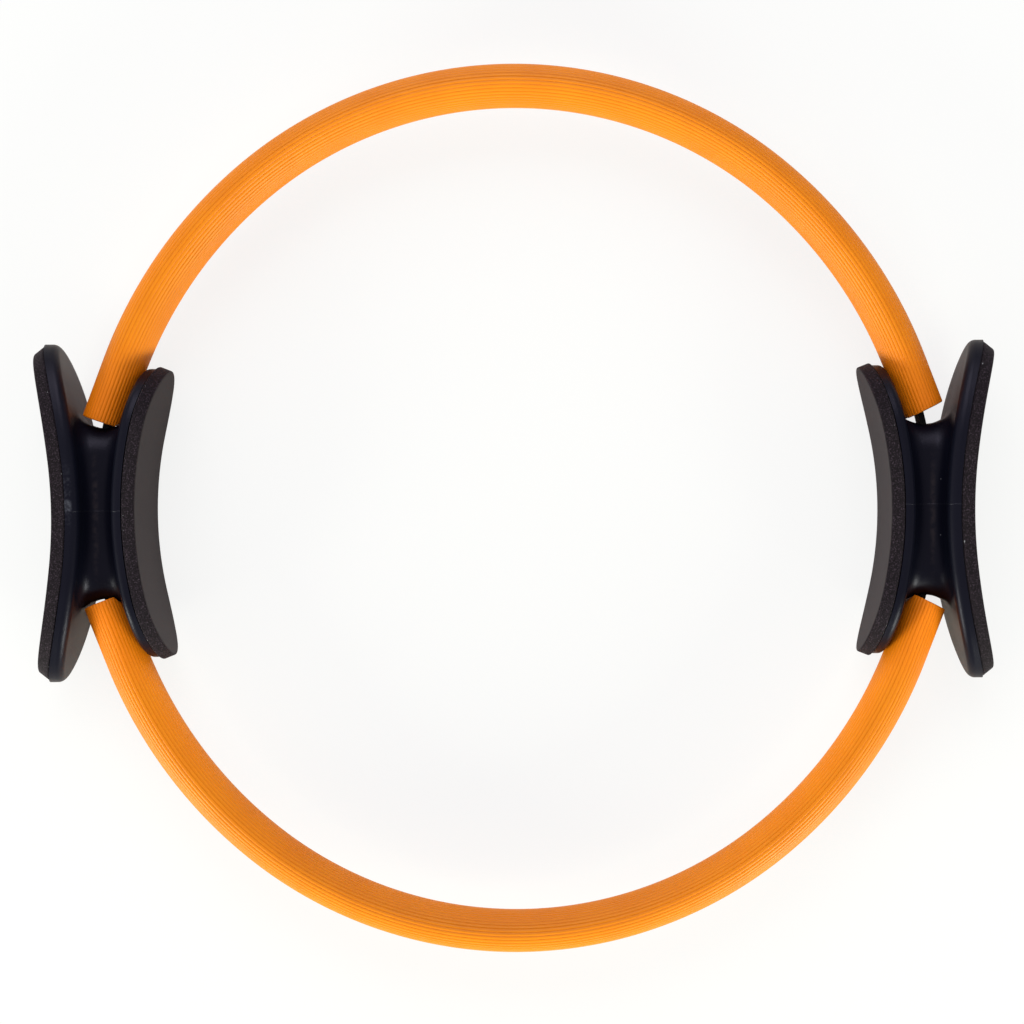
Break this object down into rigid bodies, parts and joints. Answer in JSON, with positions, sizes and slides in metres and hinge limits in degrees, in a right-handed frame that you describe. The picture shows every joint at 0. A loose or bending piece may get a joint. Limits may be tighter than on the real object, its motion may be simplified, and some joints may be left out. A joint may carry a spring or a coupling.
{
  "type": "pilates ring",
  "caption": "Flexible pilates ring: sprung half-hoops in ribbed orange foam sleeves, held by saddle-shaped black handles with hollow foam grip pads inside and out.",
  "frame": {"origin": "middle of the ring, on the plane that the two handles rest on when the ring lies flat", "axes": "+Z along the ring's axis, +X from the left handle to the right handle, +Y towards the upper half-hoop"},
  "size_m": [0.4102, 0.38, 0.05],
  "materials": {
    "sleeve_foam": "ribbed soft foam, matte",
    "pad_foam": "closed-cell foam, matte",
    "handle_plastic": "moulded plastic, satin",
    "spring_steel": "blackened spring strip",
    "screw_steel": "zinc plated"
  },
  "bodies": {
    "left_grip": {"left_handle_body": "handle_plastic", "left_outer_pad": "pad_foam", "left_inner_pad": "pad_foam", "left_upper_screw": "screw_steel", "left_lower_screw": "screw_steel"},
    "right_grip": {"right_handle_body": "handle_plastic", "right_outer_pad": "pad_foam", "right_inner_pad": "pad_foam"},
    "upper_arc": {"upper_sleeve": "sleeve_foam", "upper_outer_leaf": "spring_steel", "upper_inner_leaf": "spring_steel"},
    "lower_arc": {"lower_sleeve": "sleeve_foam", "lower_outer_leaf": "spring_steel", "lower_inner_leaf": "spring_steel"},
    "upper_tail": {"right_upper_screw": "screw_steel"},
    "lower_tail": {"right_lower_screw": "screw_steel"}
  },
  "joints": [
    {"name": "squeeze", "type": "slide", "parent": "left_grip", "child": "right_grip", "axis": [-1, 0, 0], "range_m": [-0.012, 0.075], "stiffness_N_per_m": 900},
    {"name": "upper_bow", "type": "slide", "parent": "left_grip", "child": "upper_arc", "axis": [-0.7359, 0.6771, 0], "range_m": [-0.00865, 0.05146], "deforming": ["upper_sleeve", "upper_outer_leaf", "upper_inner_leaf"]},
    {"name": "lower_bow", "type": "slide", "parent": "left_grip", "child": "lower_arc", "axis": [-0.7359, -0.6771, 0], "range_m": [-0.00865, 0.05146], "deforming": ["lower_sleeve", "lower_outer_leaf", "lower_inner_leaf"]},
    {"name": "upper_return", "type": "slide", "parent": "upper_arc", "child": "upper_tail", "axis": [-0.7359, -0.6771, 0], "range_m": [-0.00865, 0.05146]},
    {"name": "lower_return", "type": "slide", "parent": "lower_arc", "child": "lower_tail", "axis": [-0.7359, 0.6771, 0], "range_m": [-0.00865, 0.05146]}
  ],
  "couplings": [
    {"joint": "upper_bow", "follows": "squeeze", "ratio": 0.67941},
    {"joint": "lower_bow", "follows": "squeeze", "ratio": 0.67941},
    {"joint": "upper_return", "follows": "squeeze", "ratio": 0.67941},
    {"joint": "lower_return", "follows": "squeeze", "ratio": 0.67941}
  ]
}
